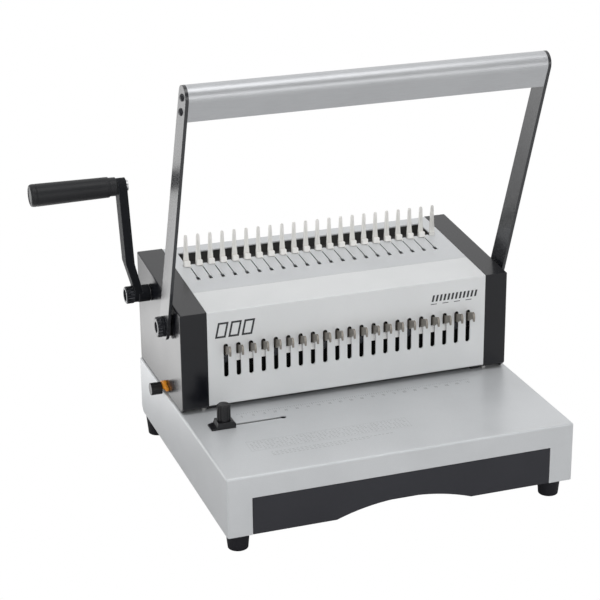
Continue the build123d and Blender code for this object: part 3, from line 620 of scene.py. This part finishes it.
def make_pivot_bolts():
    """A ribbed cap bolt at each pivot, and two domed cross-head screws through each arm."""
    pivot = middle("handle_shaft")
    y, z = (pivot.y - BASE_LO.y) / MM, pivot.z / MM
    length = (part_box("handle_bolts")[1].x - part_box("handle_arm_right")[1].x) / MM
    faces = {-1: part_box("handle_arm_left")[0].x, 1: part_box("handle_arm_right")[1].x}
    bm = bmesh.new()
    recess_shade = bmesh.new()
    lean = math.radians(HANDLE_LEAN)
    for side in (-1, 1):
        arm = side * (faces[side] - MID_X) / MM
        end = arm + length
        profile = [(arm, 11.0), (arm + 0.4, 11.4), (arm + 1.6, 11.4), (arm + 1.8, 10.4), (arm + 2.2, 10.4)]
        profile += [(arm + 2.6, 11.4, 16, 0.5), (arm + 3.4, 11.5, 16, 1.5), (end - 1.6, 11.3, 16, 1.5)]
        profile += [(end - 0.6, 10.6, 16, 0.6), (end - 0.1, 9.6), (end, 8.6), (end, 6.2), (end - 1.6, 5.9)]
        rows = [(side * row[0], *row[1:]) for row in profile]
        lathe_at(bm, rows, y, z, 128)
        for along in BAR_SCREWS_ALONG:
            sy, sz = y - along * math.sin(lean), z + along * math.cos(lean)
            dome = [(arm, 4.0), (arm + 0.9, 3.9), (arm + 1.7, 3.2), (arm + 2.2, 2.0), (arm + 2.4, 0.8)]
            lathe_at(bm, [(side * a, r) for a, r in dome], sy, sz, 40)
            # Painted shade: each cross recess is a raised near-black cross on the dome, not a hollow.
            for wide, tall in ((2.0, 0.35), (0.35, 2.0)):
                face = sorted((side * (arm + 1.9), side * (arm + 2.45)))
                add_box(recess_shade, at(face[0], sy - wide, sz - tall), at(face[1], sy + wide, sz + tall))
    piece("pivot_bolts", bm, "black_bolts", "punch_handle", replaces=["handle_bolts"])
    piece("screw_recess_shade", recess_shade, "recess_shade_black", "punch_handle", smooth=False)


def make_punch_front():
    """The bright strip that shows through the slots, its near-white finish its own zinc plus a painted
    reflection, its dark screws, and a near-black sheet behind that paints the shade inside the slots.
    """
    low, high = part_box("selector_strip")
    z0, z1 = low.z / MM, high.z / MM
    bm = bmesh.new()
    add_box(bm, at(-149.5, STRIP_FACE_Y, z0 + 0.6), at(133.0, 169.2, z1 + 0.6))
    add_box(bm, at(-149.5, 169.2, z0 + 0.6), at(133.0, 176.0, z0 + 2.0))
    piece("punch_front_strip", bm, "strip_painted_reflection", "punch_bar", replaces=["selector_strip"], bevel=0.2)
    bm = bmesh.new()
    for index in (0, 4, 8, 11, 15, 19):
        sx = (SLOT_X[index] - MID_X) / MM
        centre = at(sx, STRIP_FACE_Y, (z0 + z1) / 2 + 0.6)
        turn = Matrix.Rotation(math.radians(-90), 3, "Z")
        profile = [(-0.2, 4.9), (0.5, 4.9), (1.1, 4.4), (1.5, 3.2), (1.6, 1.6)]
        rows = [(a * MM, r * MM) for a, r in profile]
        add_lathe(bm, rows, centre, 36, turn)
    piece("strip_screws", bm, "black_bolts", "punch_bar")
    bm = bmesh.new()
    # Painted shade: a near-black sheet behind the lower slots stands in for the dark inside of the machine.
    add_box(bm, at(-150.5, 170.6, 119.0), at(150.5, 171.4, z0 + 0.2))
    piece("punch_front_shade_sheet", bm, "inside_black", "punch_bar", bevel=0.1)


def make_dial_pointer():
    """Orange saddle over the dial's shaft, with a pointed crest."""
    dial = middle("margin_dial")
    y, z = (dial.y - BASE_LO.y) / MM, dial.z / MM
    outline = [(-8.0, 3.0), (-20.0, 3.4), (-21.0, 5.2), (-20.0, 7.6), (-12.0, 8.8), (-9.0, 12.6), (-7.0, 9.0)]
    outline += [(0.0, 8.4), (5.0, 6.4), (6.4, 3.4), (6.4, 0.4), (2.8, 0.4), (1.9, 2.1), (0, 2.9), (-1.9, 2.1)]
    outline += [(-2.8, 0.6), (-6.4, 0.8)]
    points = [(at(0, y + a, 0).y, (z + b) * MM) for a, b in outline]
    bm = bmesh.new()
    add_prism(bm, points, "X", at(-196.7, 0, 0).x, CAP_LO.x - 0.1 * MM)
    piece("dial_pointer", bm, "pointer_orange", "machine_frame", bevel=0.5, segments=3)


def make_marks():
    """Ruler, a faint table of rules on the base, and two plain symbols on the front panel."""
    top = BASE_TOP / MM
    skin = (top - 0.02, top + 0.06)
    ink, faint = bmesh.new(), bmesh.new()

    def mark(bm, x0, x1, y0, y1):
        add_box(bm, at(x0, y0, skin[0]), at(x1, y1, skin[1]))

    for step in range(-54, 55):
        x = step * RULER_PITCH
        start = RULER_Y - (2.4 if step % 5 else 4.6)
        mark(ink, x - 0.13, x + 0.13, start, RULER_Y)
    segments = {"0": "abcdef", "1": "bc", "2": "abged", "3": "abgcd", "4": "fgbc", "5": "afgcd", "6": "afgecd"}
    segments |= {"7": "abc", "8": "abcdefg", "9": "abcdfg"}
    strokes = {
        "a": (0, 1, 2.0, 2.2),
        "b": (0.85, 1, 1.1, 2.2),
        "c": (0.85, 1, 0, 1.1),
        "d": (0, 1, 0, 0.2),
        "e": (0, 0.15, 0, 1.1),
        "f": (0, 0.15, 1.1, 2.2),
        "g": (0, 1, 1.0, 1.2),
    }

    def number(bm, value, x, y, size):
        text = str(value)
        for place, digit in enumerate(text):
            left = x + (place - len(text) / 2) * 1.5 * size
            for stroke in segments[digit]:
                x0, x1, y0, y1 = strokes[stroke]
                mark(bm, left + x0 * size, left + x1 * size, y + y0 * size * 1.3, y + y1 * size * 1.3)

    for count in range(22):
        number(ink, 5 * count + 5, (count - 10.5) * 5 * RULER_PITCH, NUMBER_Y, 1.25)
    for row in range(6):
        y = 74.5 - row * 3.4
        for cell in range(44):
            x = -147 + cell * 4.0
            width = 1.1 + ((cell * 7 + row * 5) % 4) * 0.5
            if (cell * 3 + row) % 11:
                mark(faint, x, x + width, y - 0.45, y + 0.45)
    for x in (-150.0, 30.0):
        mark(faint, x - 0.12, x + 0.12, 54.5, 77.5)
    for y in (54.5, 77.5):
        mark(faint, -150.0, 30.0, y - 0.12, y + 0.12)
    for row in range(3):
        y = 46.0 - row * 3.6
        for cell in range(30 - 6 * row):
            x = -132 + cell * 4.6
            mark(faint, x, x + 2.2 + (cell * 5 + row) % 3 * 0.6, y - 0.4, y + 0.4)
    piece("ruler_marks", ink, "ink", "machine_frame", smooth=False)
    piece("faint_table", faint, "faint_ink", "machine_frame", smooth=False)

    symbols = bmesh.new()
    front = at(0, (PANEL_Y - BASE_LO.y) / MM, 0).y

    def patch(corners):
        points = [(at(x + (z - SYMBOL_Z) * SYMBOL_SLANT, 0, 0).x, z * MM) for x, z in corners]
        add_prism(symbols, points, "Y", front - 0.06 * MM, front + 0.02 * MM)

    def bar_patch(x0, x1, z0, z1):
        patch([(x0, z0), (x1, z0), (x1, z1), (x0, z1)])

    for left, right in ((-153, -141), (-138, -126), (-123, -111)):
        bar_patch(left, right, 190.2, 192.4)
        bar_patch(left, right, 174.6, 176.8)
        bar_patch(left, left + 2.2, 176.8, 190.2)
        bar_patch(right - 2.2, right, 176.8, 190.2)
    for hole in range(12):
        x = 98 + hole * 4.7
        bar_patch(x, x + 2.4, 182.6, 190.2)
        if hole % 3 == 0:
            bar_patch(x - 0.2, x + 7, 179.2, 180.0)
    piece("front_symbols", symbols, "logo_ink", "machine_frame", smooth=False)


# ---- assemble ------------------------------------------------------------------------------------
bpy.context.scene.view_settings.view_transform = "Standard"
make_camera()
make_world()
make_floor()
make_lights()
paint_frame()
make_tines()
make_grip()
make_crank_knob()
make_pivot_bolts()
make_punch_front()
make_dial_pointer()
make_marks()
